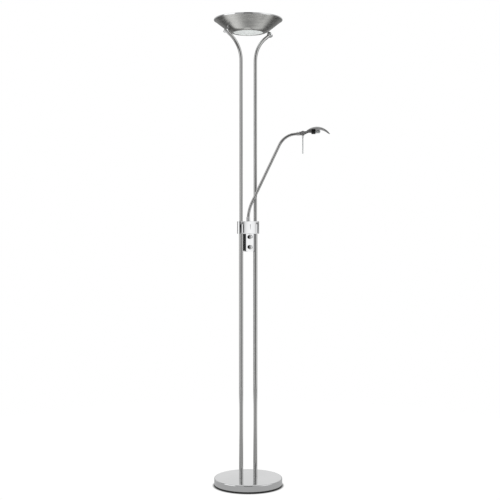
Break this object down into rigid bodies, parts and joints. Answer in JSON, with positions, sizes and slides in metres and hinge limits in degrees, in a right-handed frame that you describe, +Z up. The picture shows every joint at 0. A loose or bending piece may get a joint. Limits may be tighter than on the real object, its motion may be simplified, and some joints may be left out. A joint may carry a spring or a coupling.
{
  "type": "torchiere floor lamp",
  "caption": "Chrome floor lamp: two tall poles carry an uplighter bowl, and a swinging reading arm with a tilting head rises from a collar with two dimmer knobs.",
  "frame": {"origin": "centre of the underside of the round base, on the floor", "axes": "+Z up; the poles stand at -X and +X; the dimmer knobs face -Y and the cord inlet +Y"},
  "size_m": [0.4044, 0.306, 1.8],
  "materials": {
    "polished_chrome": "bright chromium plate on steel tube and pressings",
    "satin_nickel": "satin nickel plate, brushed round the bowl",
    "dark_nickel": "dark satin nickel plate",
    "black_plastic": "moulded black, fine texture",
    "foam_pad": "closed-cell foam sheet",
    "cast_weight": "rough casting",
    "black_rubber": "smooth moulded",
    "zinc_steel": "zinc plate",
    "brass": "turned",
    "frosted_glass": "acid-frosted, faint green at the edge",
    "quartz_glass": "clear quartz",
    "white_ceramic": "unglazed steatite",
    "bright_aluminium": "bright rolled sheet",
    "circuit_board": "laminate with parts",
    "dark_phenolic": "moulded phenolic",
    "white_nylon": "natural nylon",
    "clear_acrylic": "clear drawn rod",
    "lead_sheath": "smooth PVC sheath"
  },
  "bodies": {
    "stand": {"arm_bush": "white_nylon", "arm_spring_washer": "zinc_steel", "base_cover": "polished_chrome", "base_pad": "foam_pad", "base_weight": "cast_weight", "bowl_glass": "frosted_glass", "bowl_nuts": "zinc_steel", "bowl_rim_band": "polished_chrome", "bowl_shell": "satin_nickel", "bowl_spacers": "polished_chrome", "bowl_studs": "zinc_steel", "collar_body": "polished_chrome", "collar_cap": "polished_chrome", "collar_grub_screws": "zinc_steel", "collar_screws": "zinc_steel", "control_nuts": "zinc_steel", "cord_gland": "black_rubber", "dimmer_board": "circuit_board", "dimmer_housing_back": "polished_chrome", "dimmer_housing_front": "polished_chrome", "foot_ring": "black_plastic", "housing_screws": "zinc_steel", "lamp_bracket": "zinc_steel", "lower_pole_left": "polished_chrome", "lower_pole_right": "polished_chrome", "mains_lead": "lead_sheath", "pole_foot_nipples": "brass", "pole_foot_nuts": "zinc_steel", "pole_foot_plugs": "zinc_steel", "pole_foot_washers": "zinc_steel", "reader_potentiometer": "dark_phenolic", "socket_rivets": "zinc_steel", "tip_ferrule_left": "polished_chrome", "tip_ferrule_right": "polished_chrome", "uplight_lamp": "quartz_glass", "uplight_lead": "lead_sheath", "uplight_potentiometer": "dark_phenolic", "uplight_reflector": "bright_aluminium", "uplight_socket_left": "white_ceramic", "uplight_socket_right": "white_ceramic", "upper_pole_left": "polished_chrome", "upper_pole_right": "polished_chrome"},
    "arm": {"arm_tube": "polished_chrome", "arm_lead": "lead_sheath", "arm_root_ferrule": "polished_chrome", "arm_lock_nut": "zinc_steel", "arm_fork": "polished_chrome", "tilt_pin": "polished_chrome", "tilt_nut": "polished_chrome", "tilt_washers": "white_nylon"},
    "reader_head": {"head_neck": "dark_nickel", "head_shell": "dark_nickel", "reader_socket": "black_plastic", "reader_lamp": "frosted_glass", "rod_ferrule": "polished_chrome", "grab_rod": "clear_acrylic"},
    "uplight_dial": {"uplight_knob": "polished_chrome", "uplight_shaft": "zinc_steel"},
    "reader_dial": {"reader_knob": "polished_chrome", "reader_shaft": "zinc_steel"}
  },
  "joints": [
    {"name": "arm_swivel", "type": "hinge", "parent": "stand", "child": "arm", "pos_m": [0, 0, 1.0238], "axis": [0, 0, 1], "range_deg": [-118, 4]},
    {"name": "head_tilt", "type": "hinge", "parent": "arm", "child": "reader_head", "pos_m": [0.18032, -0.10835, 1.36268], "axis": [-0.515, -0.8572, 0], "range_deg": [-30, 50]},
    {"name": "uplight_dimmer", "type": "hinge", "parent": "stand", "child": "uplight_dial", "pos_m": [0, -0.014, 0.9644], "axis": [0, 1, 0], "range_deg": [0, 270]},
    {"name": "reader_dimmer", "type": "hinge", "parent": "stand", "child": "reader_dial", "pos_m": [0, -0.014, 0.9238], "axis": [0, 1, 0], "range_deg": [0, 270]}
  ]
}
